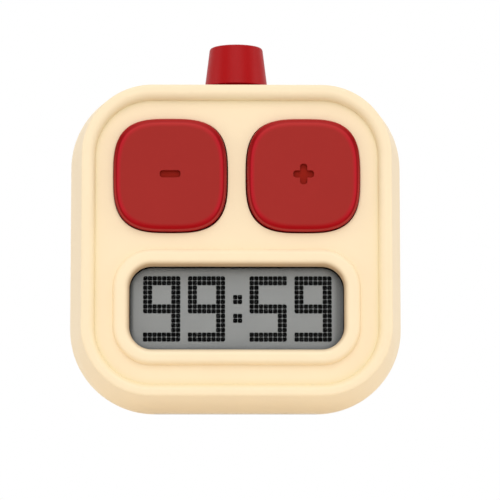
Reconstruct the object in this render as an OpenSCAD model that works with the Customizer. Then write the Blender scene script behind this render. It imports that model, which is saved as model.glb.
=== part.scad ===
// Digital countdown timer with two front keys, a display and a top button.
// X runs to the right, Y towards the back and Z up. The body stands on z = 0.
// Depths are measured from the front rim towards the back.

/* [Body] */
// Width of the body at its widest
body_w = 55; // [54:0.5:60]
// Height of the body without the top button
body_h = 55; // [54:0.5:60]
// Depth of the body from the front rim to the back
body_d = 21.5; // [21:0.5:25]
// How much smaller the front is than the back, on each side
front_inset = 2.8; // [2.2:0.1:3.2]
// Radius of the body's corners, seen from the front
corner_r = 14; // [13:0.5:15]
// Depth over which the underside slopes down from the front rim
chin_d = 7; // [6:0.5:9]
// Length of the round blend from the slope to the flat underside, each way
chin_blend = 1; // [0.5:0.1:1.5]
// Depth of the rear cover
cover_d = 3.5; // [3:0.5:4]
// Thickness of the side walls
wall = 1.5; // [1.2:0.1:1.8]
// Thickness of the back
back_wall = 1.6; // [1.4:0.1:2]
// Rounding of the edge round the back
back_round = 1.8; // [1:0.1:2.2]

/* [Face] */
// Width of the raised rim round the face
rim_w = 2.2; // [1.8:0.1:2.6]
// Rounding of the rim's outer edge
rim_round = 0.5; // [0.4:0.1:0.8]
// Width of the rim's flat crest
rim_flat = 0.55; // [0.2:0.05:0.8]
// How far the edge of the face lies low, so that the rim is wider at the top
face_drop = 0.2; // [0:0.05:0.3]
// Depth of the face below the rim
recess_d = 1.5; // [1.2:0.1:1.8]
// Thickness of the face
face_wall = 1.8; // [1.5:0.1:2.2]

/* [Keys] */
// Width and height of a key
key_size = 18; // [16:0.1:18.6]
// How square a key is, where 2 is a circle
key_power = 3.15; // [2.5:0.05:4]
// Distance between the two keys
key_spacing = 3.2; // [3:0.1:4]
// Height of the keys' lower edges above the middle of the body
key_raise = 1.2; // [1:0.05:2]
// How far a key stands out of the face
key_proud = 1.35; // [1:0.05:1.4]
// Rounding of a key's front edge
key_round = 0.9; // [0.6:0.1:1.2]
// Thickness of a key's front
key_crown = 1.9; // [1.5:0.1:2]
// Thickness of a key's skirt
key_wall = 1.4; // [1:0.1:1.8]
// Diameter of the stem inside a key
key_stem_d = 5; // [4:0.1:6]
// Width of the lip that keeps a key in its opening
key_lip = 0.9; // [0.6:0.1:1]
// Thickness of that lip
key_lip_t = 0.9; // [0.7:0.1:1.2]
// Clearance round a key in its opening
key_gap = 0.18; // [0.15:0.01:0.3]
// Travel of a key
key_travel = 0.6; // [0.3:0.1:0.8]
// Length of the sign engraved in a key
sign_l = 3.3; // [2.5:0.1:6]
// Width of the sign's strokes
sign_w = 1.15; // [0.8:0.05:1.6]
// Depth of the sign
sign_d = 0.6; // [0.2:0.05:0.8]
// How far the sign lies above the middle of its key
sign_lift = 0.15; // [0:0.05:0.5]

/* [Display] */
// Width of the window
window_w = 34.2; // [31:0.2:34.6]
// Height of the window
window_h = 13.2; // [11:0.2:13.6]
// Corner radius of the window
window_r = 3.6; // [2:0.1:4]
// How far the window's top edge lies below the middle of the body
window_drop = 4.35; // [4.1:0.05:4.8]
// Width of the raised ring round the window
bezel_w = 2.6; // [2:0.1:2.8]
// How far that ring stands out of the face
bezel_rise = 1.1; // [0.6:0.1:1.2]
// Rounding of that ring's edges, on each side of its flat crest
bezel_round = 0.85; // [0.5:0.05:1]
// How far the ring lies above the middle of the window
bezel_lift = 0.15; // [0:0.05:0.2]
// Thickness of the clear lens
lens_t = 1; // [0.8:0.1:1.1]
// How far the lens reaches behind the face round the window
lens_lip = 1.4; // [1:0.1:1.5]
// Thickness of each of the panel's two glasses
glass_t = 1.1; // [0.7:0.1:1.2]
// How far the panel is wider than the window, on each side
panel_side = 1.7; // [1.6:0.1:2]
// How far the panel is taller than the window, above and below
panel_end = 2.2; // [1.8:0.1:2.4]
// Height of the contact ledges along the panel's long edges
ledge = 2; // [1.6:0.1:2.2]
// Wall of the carrier round the panel
carrier_wall = 0.8; // [0.6:0.1:1]
// Corner radius of that carrier
carrier_r = 1.6; // [1:0.1:1.8]

/* [Top button] */
// Diameter of the button at its foot
button_d = 10.4; // [9:0.1:11]
// Diameter of the button at its top, before rounding
button_top_d = 8.65; // [7.6:0.05:9]
// How far the button stands above the body
button_rise = 5; // [4:0.1:7]
// Rounding of the button's top edge
button_round = 0.5; // [0.4:0.1:1]
// Thickness of the button's skirt
button_wall = 1.2; // [1:0.1:1.5]
// Width of the flange that keeps the button in
button_flange = 1.2; // [0.8:0.1:1.4]
// Thickness of that flange
button_flange_t = 1; // [0.8:0.1:1.4]
// Clearance round the button in its bore
button_gap = 0.2; // [0.1:0.05:0.3]
// Wall of the collar that guides the button
collar_wall = 1.4; // [1:0.1:1.8]
// Length of the stem below the flange
stem_l = 2.2; // [1.5:0.1:3]
// Diameter of that stem
stem_d = 4; // [3.5:0.1:5]
// Travel of the button
button_travel = 0.6; // [0.3:0.1:0.8]

/* [Board and switches] */
// Distance from the inside of the face to the board
board_gap = 3.45; // [3.3:0.05:4]
// Thickness of the board
board_t = 1; // [0.8:0.1:1.6]
// Distance from the board's edge to the walls
board_margin = 1; // [0.6:0.1:1.4]
// Width of a tactile switch
switch_size = 6; // [5:0.5:7]
// Height of a key's switch above the board
switch_h = 2.5; // [2.2:0.05:2.7]
// Height of the top button's switch
start_h = 3.5; // [3:0.1:5]
// How far the top switch's plunger stands out of it
start_proud = 1; // [0.9:0.1:1.4]
// Diameter of a switch plunger
plunger_d = 3.4; // [2.5:0.1:3.8]
// Clearance round a plunger in its switch
plunger_gap = 0.06; // [0.04:0.01:0.1]
// Diameter of the posts that carry the board
post_d = 3; // [2.6:0.1:3.2]
// How far the outer posts are tucked in from the keys' outer edges
post_tuck = 1.4; // [1:0.1:1.6]
// Diameter of the board screws
board_screw_d = 1.6; // [1.4:0.1:1.8]

/* [Cell and door] */
// Diameter of the coin cell
cell_d = 20; // [19:0.5:20.5]
// Thickness of the coin cell
cell_t = 3.2; // [2.5:0.1:3.4]
// Height of the cell's centre above the underside
cell_z = 17.5; // [17:0.5:18.5]
// Clearance round the cell
cell_gap = 0.3; // [0.2:0.05:0.4]
// Room for the contact spring below the cell
spring_room = 1; // [0.8:0.1:1.4]
// Thickness of the door's head
door_t = 1.6; // [1.4:0.1:2]
// Clearance round the door
door_gap = 0.2; // [0.15:0.05:0.3]
// Thickness of the door's neck
neck_t = 0.8; // [0.7:0.1:1]
// How far the bayonet lugs reach under the lip
lug_reach = 1.2; // [0.8:0.1:1.4]
// Thickness of the lugs
lug_t = 0.9; // [0.7:0.1:1.1]
// Angle that each lug covers
lug_angle = 30; // [20:1:36]
// Angle that the door turns to unlock
lock_angle = 45; // [40:1:55]
// Thickness of the lip that the lugs hook under
bayonet_lip = 1; // [0.8:0.1:1.2]
// Length of the coin slot
slot_l = 16; // [12:0.5:18]
// Width of the coin slot
slot_w = 2; // [1.6:0.1:2.4]
// Depth of the coin slot
slot_d = 0.9; // [0.6:0.1:1]
// Thickness of the contact strips
strip_t = 0.3; // [0.2:0.05:0.35]
// Width of the contact strips
strip_w = 4; // [3:0.5:5]

/* [Buzzer and magnets] */
// Diameter of the buzzer
buzzer_d = 9.6; // [8:0.2:12]
// Height of the buzzer above the board
buzzer_h = 5; // [3:0.1:5.5]
// Diameter of the hole in the buzzer's top
buzzer_hole_d = 2; // [1:0.1:3]
// Diameter of each sound hole
sound_hole_d = 1.4; // [1:0.1:1.8]
// Diameter of the ring of sound holes
sound_ring_d = 8; // [6:0.5:9]
// Diameter of a magnet
magnet_d = 10; // [8:0.5:10.5]
// Thickness of a magnet
magnet_t = 1.8; // [1:0.1:2]
// Distance between the two magnets
magnet_pitch = 35; // [34:0.5:36]
// Wall of the magnets' pockets
pocket_wall = 1; // [0.8:0.1:1.2]

/* [Case screws] */
// Diameter of the bosses
boss_d = 5; // [4.6:0.1:5.2]
// Diameter of the screws
screw_d = 2; // [1.8:0.1:2.2]
// Length of the screws below the head
screw_l = 7.5; // [5:0.5:8]
// Diameter of the screw heads
screw_head_d = 3.8; // [3.4:0.1:4.2]
// Height of the screw heads
screw_head_t = 1.5; // [1.2:0.1:1.6]
// Depth of the screw heads' seats below the back
screw_sink = 2; // [1.8:0.1:2]
// Length of the lip that locates the rear cover
cover_lip_l = 1.2; // [1:0.1:1.6]
// Thickness of that lip
cover_lip_t = 1; // [0.8:0.1:1.2]
// Clearance of that lip in the front shell
cover_lip_gap = 0.35; // [0.3:0.05:0.5]

/* [Hidden] */

// Colours
CREAM = "#FBEBC9";
RED = "#AD302E";
CLEAR = "#D5DEDC80";
PANEL_GREY = "#8B8D8B";
WHITE = "#EDEDE8";
RUBBER = "#3A3B40";
BOARD_GREEN = "#1F6B45";
STEEL = "#B9BCC0";
BLACK = "#242528";
BRASS = "#C9A24B";

// Smoothness: points along a corner, along a key, and on the rounds between
corner_steps = 12;
key_points = 64;
round_steps = 4;
slope_steps = 6;
$fn = 64;

// A cut runs past the surface that it starts from
over = 1;
// Parts that join sink this far into each other
bite = 0.3;
// Room between pieces that are assembled face to face
play = 0.1;
// Room round pieces that drop into a seat
seat_gap = 0.15;
// Room between features that only pass each other
room = 0.5;
// Depth that a screw's thread cuts into its hole
thread = 0.1;

// Places of the keys and of the window on the face
mid_z = body_h / 2;
key_z = mid_z + key_raise + key_size / 2;
key_x = (key_size + key_spacing) / 2;
window_z = mid_z - window_drop - window_h / 2;

// Depths, from the front
split = body_d - cover_d;
face_back = recess_d + face_wall;
key_top = recess_d - key_proud;
key_lip_y = face_back + play;
key_back = key_lip_y + key_lip_t;
bezel_top = recess_d - bezel_rise;
lens_behind = 0.3;
lens_y = face_back - lens_t - lens_behind;
board_y = face_back + board_gap;
board_back = board_y + board_t;
switch_front = board_y - switch_h;
button_y = board_back + switch_size / 2;
boss_front = board_back + 3 * room;
back_inside = body_d - back_wall;
screw_seat = body_d - screw_sink;
// Where the underside turns from the slope through the blend to the flat
CHIN_DEPTHS = [chin_d - chin_blend, chin_d, chin_d + chin_blend];

// Sizes of the panel and its carrier
panel_w = window_w + 2 * panel_side;
panel_h = window_h + 2 * panel_end;
carrier_w = panel_w + 2 * (seat_gap + carrier_wall);
carrier_h = panel_h + 2 * (seat_gap + carrier_wall);

// Top button and its switch
bore_d = button_d + 2 * button_gap;
collar_d = bore_d + 2 * collar_wall;
foot_z = body_h - shrink(button_y - bore_d / 2);
collar_z = body_h - shrink(button_y - collar_d / 2) - wall - bite;
flange_top = collar_z - play;
flange_z = flange_top - button_flange_t;
flange_r = button_d / 2 + button_flange;
start_top = flange_z - stem_l;
start_z = start_top - start_proud;
button_top = body_h + button_rise;
notch_half = flange_r + room;
notch_z = flange_z - button_travel - room;

// Posts that carry the board, and their screws
post_x = key_x + key_size / 2 + key_lip - post_tuck;
post_z = window_z + carrier_h / 2 + post_d / 2 + room / 2;
POSTS = [for (side = [-1, 0, 1]) [side * post_x, post_z]];
post_pilot_d = board_screw_d - 2 * thread;
board_screw_grip = 2.2;
board_screw_l = board_t + board_screw_grip;
board_head_edge = 0.7;
board_screw_head_d = board_screw_d + 2 * board_head_edge;
board_screw_head_t = 1;

// Bosses that the case screws bite into, on the diagonals of the corners
boss_run = corner_r - wall - cover_lip_gap - cover_lip_t - boss_d / 2 - bite;
boss_x = body_w / 2 - corner_r + boss_run * cos(45);
boss_top_z = body_h - corner_r + boss_run * cos(45);
boss_low_z = corner_r - boss_run * cos(45);
BOSSES = [for (side = [-1, 1], z = [boss_low_z, boss_top_z]) [side * boss_x, z]];
web_t = 1.2;
pilot_d = screw_d - 2 * thread;
pad_edge = 0.7;
pad_d = boss_d + 2 * pad_edge;

// Cell well and bayonet door, radii and depths
seat_r = cell_d / 2 + cell_gap;
neck_r = seat_r + neck_t;
lip_r = neck_r + door_gap;
lug_r = neck_r + lug_reach;
groove_r = lug_r + door_gap;
head_r = groove_r + bite;
well_wall = 1.6;
well_r = groove_r + well_wall;
well_floor_t = 1.2;
head_y = body_d - door_t;
lip_y = head_y - bayonet_lip;
lug_y = lip_y - play - lug_t;
groove_y = lug_y - door_gap;
cell_back = head_y - door_gap;
cell_y = cell_back - cell_t;
well_floor = cell_y - spring_room;
lug_count = 3;
lug_room_angle = 3;
notch_angle = lug_angle + 2 * lug_room_angle;
cap_t = 0.4;
cap_edge = 1.2;
clip_x = cell_d / 2;
clip_top = lug_y - 2 * door_gap;
strip_foot = 2.5;
riser_x = -7;
leaf_x = -2;
leaf_tip_x = 1.5;
leaf_end_x = 3.5;
slot_room = 0.2;

// Sound holes, midway between the cell well and the top, and magnet pockets
sound_z = (cell_z + well_r + body_h - wall - cover_lip_gap - cover_lip_t) / 2;
sound_hole_count = 6;
pocket_d = magnet_d + 2 * (seat_gap + pocket_wall);
magnet_drop = 10.6;
magnet_z = sound_z - magnet_drop;
MAGNETS = [for (side = [-1, 1]) [side * magnet_pitch / 2, magnet_z]];

// Parts on the back of the board
blob_d = 9;
blob_h = 1.5;
blob_x = 10;
blob_raise = 6;
buzzer_x = 11;
buzzer_raise = 8;
buzzer_hole_depth = 1;
crystal_d = 2;
crystal_l = 6;
crystal_drop = 19;
chip_w = 1.6;
chip_h = 0.8;
chip_t = 0.7;
chip_step = 3.2;
chip_drop = 3;
CHIPS = [for (column = [-1 : 2], row = [0, 1]) [column * chip_step, mid_z - chip_drop - row * chip_step]];

// How far the body is drawn in at a depth
function shrink(depth) = front_inset * (1 - min(depth, split) / split);

// Height of the underside at a depth: a slope, a round blend, then flat
function chin(depth) =
    let (slope = front_inset / chin_d, end = chin_d + chin_blend)
    depth <= chin_d - chin_blend ? front_inset - slope * depth :
    depth >= end ? 0 : slope * pow(end - depth, 2) / (4 * chin_blend);

// Y of a depth
function y_at(depth) = depth - body_d / 2;

// Rounded rectangle as points, from half width, bottom, top and corner radius
function rounded(half_w, bottom, top, r) = [
    for (quarter = [0 : 3], step = [0 : corner_steps])
        let (
            angle = 90 * (quarter + step / corner_steps),
            centre_x = (quarter == 0 || quarter == 3 ? 1 : -1) * (half_w - r),
            centre_z = quarter < 2 ? top - r : bottom + r
        )
        [centre_x + r * cos(angle), centre_z + r * sin(angle)]
];

// Outline of the body at a depth, drawn in by an inset
function outline(depth, inset = 0) =
    let (in = shrink(depth) + inset)
    rounded(body_w / 2 - in, chin(depth) + inset, body_h - in, corner_r - in);

// Outline moved up
function raised(points, rise) = [for (at = points) at + [0, rise]];

// Outline that follows the window at a distance
function window_outline(out) = rounded(
    window_w / 2 + out, window_z - window_h / 2 - out, window_z + window_h / 2 + out, window_r + out
);

// Superellipse of a key, from its centre and half size
function key_outline(centre_x, half) = [
    for (step = [0 : key_points - 1])
        let (
            angle = 360 * step / key_points,
            across = half * sign(cos(angle)) * pow(abs(cos(angle)), 2 / key_power),
            up = half * sign(sin(angle)) * pow(abs(sin(angle)), 2 / key_power)
        )
        [centre_x + across, key_z + up]
];

// Solid through outlines that lie one behind another, each given with its depth
module loft(sections) {
    count = len(sections[0][1]);
    last = (len(sections) - 1) * count;
    points = [for (section = sections, point = section[1]) [point[0], y_at(section[0]), point[1]]];
    front_cap = [for (i = [count - 1 : -1 : 0]) i];
    back_cap = [for (i = [0 : count - 1]) last + i];
    sides = [
        for (row = [0 : len(sections) - 2], i = [0 : count - 1])
            let (a = row * count + i, b = row * count + (i + 1) % count)
            each [[a, b, b + count], [a, b + count, a + count]]
    ];
    polyhedron(points, concat([front_cap], sides, [back_cap]));
}

// Flat outline made solid between two depths
module slab(from, to) {
    translate([0, y_at(to), 0]) rotate([90, 0, 0]) linear_extrude(to - from) children();
}

// Round bar along the depth
module rod(at, from, to, d) {
    translate([at[0], y_at(from), at[1]]) rotate([-90, 0, 0]) cylinder(d = d, h = to - from);
}

// Places a shape turned about Z so that its axis runs along the depth
module turned(at, depth) {
    translate([at[0], y_at(depth), at[1]]) rotate([-90, 0, 0]) children();
}

// Rectangle with round corners, centred
module rounded_rect(w, h, r) {
    square([w - 2 * r, h], center = true);
    square([w, h - 2 * r], center = true);
    for (x = [-1, 1], y = [-1, 1]) translate([x * (w / 2 - r), y * (h / 2 - r)]) circle(r);
}

// Ring between two radii, as tall as h, over an angle from its start
module ring(inner_r, outer_r, h, angle = 360, start = 0) {
    rotate([0, 0, start]) rotate_extrude(angle = angle)
        translate([inner_r, 0]) square([outer_r - inner_r, h]);
}

// Sections of the body at some depths, drawn in by an inset
function body_sections(depths, inset = 0) = [for (depth = depths) [depth, outline(depth, inset)]];

// Body with straight tapering sides, drawn in by an inset
module tapered_form(from, inset) {
    loft(body_sections(concat(from, CHIN_DEPTHS, split), inset));
}

// Outside of the front shell, from the face over the rim to the parting line
module shell_form() {
    crest = rim_round + rim_flat;
    slope = [
        for (step = [slope_steps : -1 : 0])
            let (angle = 90 * step / slope_steps, in = crest + (rim_w - crest) * sin(angle))
            [recess_d * (1 - cos(angle)), raised(outline(rim_round, in), -face_drop * sin(angle))]
    ];
    edge = [
        for (step = [round_steps : -1 : 0])
            let (angle = 90 * step / round_steps)
            [rim_round * (1 - sin(angle)), outline(rim_round, rim_round * (1 - cos(angle)))]
    ];
    loft(concat(slope, edge, body_sections(concat(CHIN_DEPTHS, split))));
}

// Hollow of the front shell
module shell_hollow() {
    loft(body_sections(concat(face_back, CHIN_DEPTHS, split, split + over), wall));
}

// Raised ring on the face, with its outer edge rounded
module bezel_form() {
    crest = bezel_w - bezel_round;
    rounds = [
        for (step = [0 : round_steps])
            let (angle = 90 * step / round_steps, out = crest + bezel_round * sin(angle))
            [bezel_top + bezel_rise * (1 - cos(angle)), raised(window_outline(out), bezel_lift)]
    ];
    loft(concat(rounds, [[recess_d + bite, raised(window_outline(bezel_w), bezel_lift)]]));
}

// Opening of the window, with the rounding of the ring's inner edge
module window_cut() {
    round_d = lens_y - bezel_top - bite;
    rounds = [
        for (step = [0 : round_steps])
            let (angle = 90 * step / round_steps)
            [bezel_top + round_d * (1 - cos(angle)), window_outline(bezel_round * (1 - sin(angle)))]
    ];
    loft(concat([[bezel_top - over, window_outline(bezel_round)]], rounds, [[lens_y + play, window_outline(0)]]));
}

// Lens or its pocket, drawn in by a gap
module lens_form(from, to, gap) {
    slab(from, to) translate([0, window_z])
        rounded_rect(window_w + 2 * (lens_lip - gap), window_h + 2 * (lens_lip - gap), window_r);
}

// Webs and bosses for the case screws
module boss_forms() {
    for (at = BOSSES) {
        rod(at, boss_front, split, boss_d);
        turned(at, boss_front) rotate([0, 0, at[0] * (mid_z - at[1]) > 0 ? 45 : -45])
            translate([at[0] > 0 ? 0 : -corner_r, -web_t / 2, 0])
            cube([corner_r, web_t, split - boss_front - cover_lip_l - bite]);
    }
}

// Collar that guides the top button, with a clearance round it
module collar_form(gap = 0) {
    translate([0, y_at(button_y), collar_z - gap]) cylinder(d = collar_d + 2 * gap, h = body_h - collar_z);
}

module front_shell() {
    color(CREAM) difference() {
        union() {
            difference() {
                union() {
                    shell_form();
                    bezel_form();
                }
                shell_hollow();
            }
            intersection() {
                union() {
                    boss_forms();
                    collar_form();
                }
                tapered_form(face_back, wall / 2);
            }
            for (at = POSTS) rod(at, face_back - bite, board_y, post_d);
        }
        window_cut();
        lens_form(lens_y, face_back + over, 0);
        for (side = [-1, 1])
            slab(key_top - over, face_back + over)
                polygon(key_outline(side * key_x, key_size / 2 + key_gap));
        translate([0, y_at(button_y), collar_z - over]) cylinder(d = bore_d, h = body_h);
        for (at = BOSSES) rod(at, boss_front + over, split + over, pilot_d);
        for (at = POSTS) rod(at, face_back + bite, board_y + over, post_pilot_d);
    }
}

// Outside of the rear cover
module cover_form() {
    edge = [
        for (step = [0 : round_steps])
            let (angle = 90 * step / round_steps)
            [body_d - back_round * (1 - sin(angle)), outline(split, back_round * (1 - cos(angle)))]
    ];
    loft(concat([[split, outline(split)]], edge));
}

// Lip that locates the cover inside the front shell, and its root on the cover's wall, notched for the collar
module cover_lip() {
    inner = wall + cover_lip_gap + cover_lip_t;
    root = split + cover_lip_t;
    difference() {
        union() {
            slab(split - cover_lip_l, root) polygon(outline(split, wall + cover_lip_gap));
            slab(split, root) polygon(outline(split, wall - bite));
        }
        slab(split - cover_lip_l - over, root + over) polygon(outline(split, inner));
        collar_form(cover_lip_gap);
    }
}

// Everything that is bored out of the cell well
module well_bores() {
    at = [0, cell_z];
    rod(at, well_floor, body_d, 2 * seat_r);
    rod(at, groove_y, lip_y, 2 * groove_r);
    rod(at, lip_y - over, body_d, 2 * lip_r);
    rod(at, head_y, body_d + over, 2 * (head_r + door_gap));
    turned(at, lip_y - bite) for (i = [0 : lug_count - 1])
        ring(seat_r, groove_r, bayonet_lip + 2 * bite, notch_angle,
            i * 360 / lug_count + lock_angle - notch_angle / 2);
    strip_slot(clip_x, clip_top);
    strip_slot(riser_x, well_floor + over / 2);
}

// Slot that a contact strip passes through, from under the well to a depth
module strip_slot(x, to) {
    from = well_floor - well_floor_t - over / 2;
    width = strip_t + 2 * slot_room;
    height = strip_w + 2 * slot_room;
    translate([x - slot_room, y_at(from), cell_z - height / 2]) cube([width, to - from, height]);
}

module rear_cover() {
    color(CREAM) difference() {
        union() {
            difference() {
                cover_form();
                slab(split - over, back_inside) polygon(outline(split, wall));
            }
            cover_lip();
            for (at = BOSSES) rod(at, split, back_inside + bite, pad_d);
            rod([0, cell_z], well_floor - well_floor_t, back_inside + bite, 2 * well_r);
            for (at = MAGNETS) rod(at, back_inside - magnet_t, back_inside + bite, pocket_d);
        }
        well_bores();
        for (at = MAGNETS) rod(at, split - cover_lip_l - over, back_inside, magnet_d + 2 * seat_gap);
        for (at = BOSSES) {
            rod(at, split - over, body_d + over, screw_d + 2 * door_gap);
            rod(at, screw_seat, body_d + over, screw_head_d + 2 * door_gap);
        }
        rod([0, sound_z], back_inside - over, body_d + over, sound_hole_d);
        turned([0, sound_z], back_inside - over) for (i = [0 : sound_hole_count - 1])
            rotate([0, 0, i * 360 / sound_hole_count]) translate([sound_ring_d / 2, 0, 0])
            cylinder(d = sound_hole_d, h = back_wall + 2 * over);
    }
}

module battery_door() {
    color(CREAM) difference() {
        union() {
            rod([0, cell_z], head_y, body_d, 2 * head_r);
            turned([0, cell_z], lug_y) {
                ring(seat_r, neck_r, head_y - lug_y + bite);
                for (i = [0 : lug_count - 1])
                    ring(seat_r, lug_r, lug_t, lug_angle, i * 360 / lug_count - lug_angle / 2);
            }
        }
        slab(body_d - slot_d, body_d + over) translate([0, cell_z])
            rounded_rect(slot_l, slot_w, slot_w / 2 - play);
    }
}

// Stroke of an engraved sign
module stroke(at) {
    slab(key_top - over, key_top + sign_d) translate(at + [0, sign_lift]) children();
}

// Key with its skirt, lip, stem and engraved sign
module key(side, upright) {
    at = [side * key_x, key_z];
    half = key_size / 2;
    edge = [
        for (step = [round_steps : -1 : 0])
            let (angle = 90 * step / round_steps, inset = key_round * (1 - cos(angle)))
            [key_top + key_round * (1 - sin(angle)), key_outline(at[0], half - inset)]
    ];
    color(RED) difference() {
        union() {
            difference() {
                union() {
                    loft(concat(edge, [[key_back, key_outline(at[0], half)]]));
                    slab(key_lip_y, key_back) polygon(key_outline(at[0], half + key_lip));
                }
                slab(key_top + key_crown, key_back + over) polygon(key_outline(at[0], half - key_wall));
            }
            rod(at, key_top + key_crown - bite, face_back, key_stem_d);
        }
        stroke(at) rounded_rect(sign_l, sign_w, sign_w / 2 - play);
        if (upright) stroke(at) rounded_rect(sign_w, sign_l, sign_w / 2 - play);
    }
}

module minus_key() { key(-1, false); }

module plus_key() { key(1, true); }

// Half section of the top button: a cone with a rounded top edge over a skirt, a flange and a stem
module button_section() {
    foot_r = button_d / 2;
    lean = atan((foot_r - button_top_d / 2) / (button_top - foot_z));
    reach = foot_r * cos(lean) + foot_z * sin(lean);
    round_z = button_top - button_round;
    round_x = (reach - button_round - round_z * sin(lean)) / cos(lean);
    hollow_r = foot_r - button_wall;
    polygon([
        [0, start_top], [stem_d / 2, start_top], [stem_d / 2, foot_z], [hollow_r, foot_z],
        [hollow_r, flange_z], [flange_r, flange_z], [flange_r, flange_top], [foot_r, flange_top],
        [foot_r, foot_z], [round_x + button_round * cos(lean), round_z + button_round * sin(lean)],
        [round_x, button_top], [0, button_top]
    ]);
    translate([round_x, round_z]) circle(button_round);
}

module top_button() {
    color(RED) translate([0, y_at(button_y), 0]) rotate_extrude() button_section();
}

module display_lens() {
    color(CLEAR) lens_form(lens_y, lens_y + lens_t, play);
}

module lcd_panel() {
    middle = face_back + glass_t;
    color(PANEL_GREY) translate([0, 0, window_z]) {
        slab(face_back, middle) square([panel_w, panel_h], center = true);
        slab(middle, middle + glass_t) square([panel_w, panel_h - 2 * ledge], center = true);
    }
}

module lcd_frame() {
    color(WHITE) slab(face_back, board_y) translate([0, window_z]) difference() {
        rounded_rect(carrier_w, carrier_h, carrier_r);
        square([panel_w + 2 * seat_gap, panel_h + 2 * seat_gap], center = true);
    }
}

module zebra_strips() {
    strip = [panel_w - 2 * seat_gap, ledge - 2 * seat_gap];
    color(RUBBER) slab(face_back + glass_t, board_y) for (side = [-1, 1])
        translate([0, window_z + side * (panel_h - ledge) / 2]) square(strip, center = true);
}

// Board with a notch for the top button and a notch at each corner, so that it drops in past the bosses
module main_board() {
    notch = corner_r + boss_d;
    reach = notch / 2 - boss_d / 2 - room;
    color(BOARD_GREEN) difference() {
        slab(board_y, board_back) difference() {
            polygon(outline(board_y, wall + board_margin));
            translate([-notch_half, notch_z]) square([2 * notch_half, body_h]);
            for (at = BOSSES)
                translate(at + reach * [sign(at[0]), sign(at[1] - mid_z)]) square(notch, center = true);
        }
        for (at = POSTS) rod(at, board_y - over, board_back + over, board_screw_d + 2 * seat_gap);
    }
}

// Pan head screw along the depth, with its head towards the back and a cross in it
module screw(at, seat, d, length, head_d, head_t) {
    cross_l = head_d * 0.55;
    cross_w = d * 0.3;
    cross_d = head_t * 0.6;
    difference() {
        union() {
            rod(at, seat - length, seat, d);
            rod(at, seat, seat + head_t, head_d);
        }
        turned(at, seat + head_t) for (angle = [0, 90])
            rotate([0, 0, angle]) cube([cross_l, cross_w, 2 * cross_d], center = true);
    }
}

module board_screws() {
    color(STEEL) for (at = POSTS)
        screw(at, board_back, board_screw_d, board_screw_l, board_screw_head_d, board_screw_head_t);
}

module case_screws() {
    color(STEEL) for (at = BOSSES) screw(at, screw_seat, screw_d, screw_l, screw_head_d, screw_head_t);
}

// Base of a key's switch, with the bore that its plunger runs in
module key_switch(side) {
    at = [side * key_x, key_z];
    color(BLACK) difference() {
        slab(switch_front, board_y) translate(at) square(switch_size, center = true);
        rod(at, switch_front - over, board_y - bite, plunger_d + 2 * plunger_gap);
    }
}

module minus_switch() { key_switch(-1); }

module plus_switch() { key_switch(1); }

module start_switch() {
    color(BLACK) translate([0, y_at(button_y), start_z - start_h]) difference() {
        translate([-switch_size / 2, -switch_size / 2, 0]) cube([switch_size, switch_size, start_h]);
        translate([0, 0, bite]) cylinder(d = plunger_d + 2 * plunger_gap, h = start_h);
    }
}

// Plunger between a key's stem and the bottom of its switch, with room to travel
module key_plunger(side) {
    end = board_y - bite - key_travel - play;
    color(WHITE) rod([side * key_x, key_z], face_back, end, plunger_d);
}

module minus_plunger() { key_plunger(-1); }

module plus_plunger() { key_plunger(1); }

module start_plunger() {
    bottom = start_z - start_h + bite + button_travel + play;
    color(WHITE) translate([0, y_at(button_y), bottom]) cylinder(d = plunger_d, h = start_top - bottom);
}

// Drop of hard resin over the chip, a low dome
module controller_blob() {
    dome_r = (pow(blob_d / 2, 2) + pow(blob_h, 2)) / (2 * blob_h);
    at = [-blob_x, mid_z + blob_raise];
    color(BLACK) turned(at, board_back) rotate_extrude() intersection() {
        translate([0, blob_h - dome_r]) circle(dome_r);
        square([blob_d, 2 * blob_h]);
    }
}

// Crystal can lying on the board
module clock_crystal() {
    color(STEEL) translate([-crystal_l / 2, y_at(board_back + crystal_d / 2), mid_z - crystal_drop])
        rotate([0, 90, 0]) cylinder(d = crystal_d, h = crystal_l);
}

module chip_parts() {
    color(BLACK) for (at = CHIPS)
        slab(board_back, board_back + chip_t) translate(at) square([chip_w, chip_h], center = true);
}

// Coin cell: the can, and the smaller cap that faces the front
module coin_cell() {
    color(STEEL) {
        rod([0, cell_z], cell_y + cap_t, cell_back, cell_d);
        rod([0, cell_z], cell_y, cell_y + cap_t, cell_d - 2 * cap_edge);
    }
}

// Strip of contact metal, from its outline seen from above
module contact_strip(points) {
    color(BRASS) translate([0, 0, cell_z - strip_w / 2]) linear_extrude(strip_w)
        polygon([for (point = points) [point[0], y_at(point[1])]]);
}

module cell_clip() {
    contact_strip([
        [clip_x, board_back], [clip_x + strip_foot, board_back],
        [clip_x + strip_foot, board_back + strip_t], [clip_x + strip_t, board_back + strip_t],
        [clip_x + strip_t, clip_top], [clip_x, clip_top]
    ]);
}

module cell_spring() {
    contact_strip([
        [riser_x - strip_foot, board_back], [riser_x + strip_t, board_back],
        [riser_x + strip_t, well_floor], [leaf_x, well_floor],
        [leaf_tip_x, cell_y - strip_t], [leaf_end_x, cell_y - strip_t],
        [leaf_end_x, cell_y], [leaf_tip_x - strip_t, cell_y],
        [leaf_x - strip_t, well_floor + strip_t], [riser_x, well_floor + strip_t],
        [riser_x, board_back + strip_t], [riser_x - strip_foot, board_back + strip_t]
    ]);
}

// Buzzer can on the board, with its sound hole towards the back
module buzzer() {
    at = [buzzer_x, mid_z + buzzer_raise];
    top = board_back + buzzer_h;
    color(BLACK) difference() {
        rod(at, board_back, top, buzzer_d);
        rod(at, top - buzzer_hole_depth, top + over, buzzer_hole_d);
    }
}

module magnets() {
    color(STEEL) for (at = MAGNETS) rod(at, back_inside - magnet_t, back_inside, magnet_d);
}

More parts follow.
